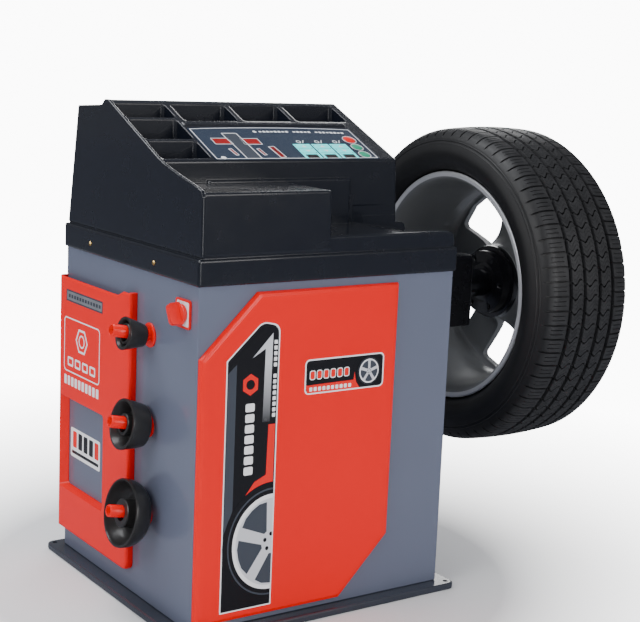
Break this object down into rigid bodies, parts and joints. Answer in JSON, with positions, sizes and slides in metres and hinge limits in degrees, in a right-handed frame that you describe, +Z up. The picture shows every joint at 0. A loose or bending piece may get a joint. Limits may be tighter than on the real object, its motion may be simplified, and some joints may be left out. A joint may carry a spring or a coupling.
{
  "type": "wheel balancer",
  "caption": "Garage wheel balancer: steel cabinet, moulded weight tray and keypad cover, spindle with a mounted alloy wheel, spare cones on side pegs.",
  "frame": {"origin": "centre of the cabinet's footprint, on the floor", "axes": "+X along the spindle towards the wheel, +Y towards the back, +Z up"},
  "size_m": [1.1257, 0.6538, 0.8985],
  "materials": {
    "cabinet_paint": "gloss",
    "plate_paint": "gloss",
    "cover_plastic": "gloss",
    "panel_film": "satin",
    "red_paint": "gloss",
    "red_button": "gloss",
    "green_button": "gloss",
    "cyan_key": "satin",
    "black_key": "satin",
    "window_red": "gloss",
    "white_plastic": "satin",
    "black_steel": "satin",
    "dark_cone": "blackened",
    "steel": "satin",
    "brass": "satin",
    "alloy": "painted satin",
    "rubber": "matte",
    "belt_rubber": "matte",
    "motor_grey": "satin",
    "circuit_green": "matte"
  },
  "bodies": {
    "machine": {"base_plate": "plate_paint", "cabinet_shell": "cabinet_paint", "rear_service_panel": "cabinet_paint", "top_cover": "cover_plastic", "display_panel": "panel_film", "left_digit_window": "window_red", "right_digit_window": "window_red", "front_panel": "red_paint", "side_panel": "red_paint", "cone_peg_top": "red_paint", "cone_peg_middle": "red_paint", "cone_peg_low": "red_paint", "switch_plate": "white_plastic", "switch_body": "black_key", "mains_gland": "black_key", "encoder_sensor": "black_key", "spindle_housing": "black_steel", "bearing_rear": "steel", "bearing_front": "steel", "force_sensor_inner": "steel", "force_sensor_outer": "steel", "motor": "motor_grey", "motor_bracket": "motor_grey", "pedestal": "motor_grey", "drive_belt": "belt_rubber", "power_board": "circuit_green", "control_board": "circuit_green", "cover_screw_left_front": "brass", "cover_screw_left_rear": "brass", "cover_screw_right_front": "brass", "cover_screw_right_rear": "brass"},
    "spindle": {"spindle_shaft": "steel", "backing_flange": "black_steel", "spindle_pulley": "steel", "encoder_disc": "steel"},
    "wheel": {"rim": "alloy", "tyre": "rubber"},
    "centring_cone": {"wheel_cone": "dark_cone"},
    "nut": {"quick_nut": "steel"},
    "motor_rotor": {"motor_shaft": "steel", "motor_pulley": "steel"},
    "mains_knob": {"switch_knob": "red_button"},
    "stop_button_cap": {"stop_button": "red_button"},
    "start_button_cap": {"start_button": "green_button"},
    "program_button_cap": {"program_button": "green_button"},
    "key_distance_up_cap": {"key_distance_up": "cyan_key"},
    "key_distance_down_cap": {"key_distance_down": "cyan_key"},
    "key_distance_function_cap": {"key_distance_function": "black_key"},
    "key_width_up_cap": {"key_width_up": "cyan_key"},
    "key_width_down_cap": {"key_width_down": "cyan_key"},
    "key_width_function_cap": {"key_width_function": "black_key"},
    "key_diameter_up_cap": {"key_diameter_up": "cyan_key"},
    "key_diameter_down_cap": {"key_diameter_down": "cyan_key"},
    "key_diameter_function_cap": {"key_diameter_function": "black_key"},
    "hung_cone_small": {"spare_cone_small": "dark_cone"},
    "hung_cone_medium": {"spare_cone_medium": "dark_cone"},
    "hung_cone_large": {"spare_cone_large": "dark_cone"}
  },
  "joints": [
    {"name": "spindle_spin", "type": "hinge", "parent": "machine", "child": "spindle", "pos_m": [0, 0, 0.535], "axis": [1, 0, 0], "continuous": true},
    {"name": "wheel_off", "type": "slide", "parent": "spindle", "child": "wheel", "axis": [1, 0, 0], "range_m": [0, 0.2]},
    {"name": "centring_cone_off", "type": "slide", "parent": "spindle", "child": "centring_cone", "axis": [1, 0, 0], "range_m": [0, 0.24]},
    {"name": "quick_nut_off", "type": "slide", "parent": "spindle", "child": "nut", "axis": [1, 0, 0], "range_m": [0, 0.28]},
    {"name": "motor_spin", "type": "hinge", "parent": "machine", "child": "motor_rotor", "pos_m": [0, 0, 0.205], "axis": [1, 0, 0], "continuous": true},
    {"name": "mains_knob_turn", "type": "hinge", "parent": "machine", "child": "mains_knob", "pos_m": [-0.28, -0.209, 0.561], "axis": [-1, 0, 0], "range_deg": [0, 90]},
    {"name": "stop_button_press", "type": "slide", "parent": "machine", "child": "stop_button_cap", "axis": [0, 0.4104, -0.9119], "range_m": [0, 0.0006], "stiffness_N_per_m": 400},
    {"name": "start_button_press", "type": "slide", "parent": "machine", "child": "start_button_cap", "axis": [0, 0.4104, -0.9119], "range_m": [0, 0.0006], "stiffness_N_per_m": 400},
    {"name": "program_button_press", "type": "slide", "parent": "machine", "child": "program_button_cap", "axis": [0, 0.4104, -0.9119], "range_m": [0, 0.0006], "stiffness_N_per_m": 400},
    {"name": "key_distance_up_press", "type": "slide", "parent": "machine", "child": "key_distance_up_cap", "axis": [0, 0.4104, -0.9119], "range_m": [0, 0.0006], "stiffness_N_per_m": 400},
    {"name": "key_distance_down_press", "type": "slide", "parent": "machine", "child": "key_distance_down_cap", "axis": [0, 0.4104, -0.9119], "range_m": [0, 0.0006], "stiffness_N_per_m": 400},
    {"name": "key_distance_function_press", "type": "slide", "parent": "machine", "child": "key_distance_function_cap", "axis": [0, 0.4104, -0.9119], "range_m": [0, 0.0006], "stiffness_N_per_m": 400},
    {"name": "key_width_up_press", "type": "slide", "parent": "machine", "child": "key_width_up_cap", "axis": [0, 0.4104, -0.9119], "range_m": [0, 0.0006], "stiffness_N_per_m": 400},
    {"name": "key_width_down_press", "type": "slide", "parent": "machine", "child": "key_width_down_cap", "axis": [0, 0.4104, -0.9119], "range_m": [0, 0.0006], "stiffness_N_per_m": 400},
    {"name": "key_width_function_press", "type": "slide", "parent": "machine", "child": "key_width_function_cap", "axis": [0, 0.4104, -0.9119], "range_m": [0, 0.0006], "stiffness_N_per_m": 400},
    {"name": "key_diameter_up_press", "type": "slide", "parent": "machine", "child": "key_diameter_up_cap", "axis": [0, 0.4104, -0.9119], "range_m": [0, 0.0006], "stiffness_N_per_m": 400},
    {"name": "key_diameter_down_press", "type": "slide", "parent": "machine", "child": "key_diameter_down_cap", "axis": [0, 0.4104, -0.9119], "range_m": [0, 0.0006], "stiffness_N_per_m": 400},
    {"name": "key_diameter_function_press", "type": "slide", "parent": "machine", "child": "key_diameter_function_cap", "axis": [0, 0.4104, -0.9119], "range_m": [0, 0.0006], "stiffness_N_per_m": 400},
    {"name": "hung_cone_small_off", "type": "slide", "parent": "machine", "child": "hung_cone_small", "axis": [-0.9816, 0, 0.1908], "range_m": [0, 0.1]},
    {"name": "hung_cone_medium_off", "type": "slide", "parent": "machine", "child": "hung_cone_medium", "axis": [-0.9816, 0, 0.1908], "range_m": [0, 0.1]},
    {"name": "hung_cone_large_off", "type": "slide", "parent": "machine", "child": "hung_cone_large", "axis": [-0.9816, 0, 0.1908], "range_m": [0, 0.1]}
  ],
  "couplings": [
    {"joint": "centring_cone_off", "follows": "wheel_off", "ratio": 1.2},
    {"joint": "quick_nut_off", "follows": "wheel_off", "ratio": 1.4},
    {"joint": "motor_spin", "follows": "spindle_spin", "ratio": 3}
  ]
}
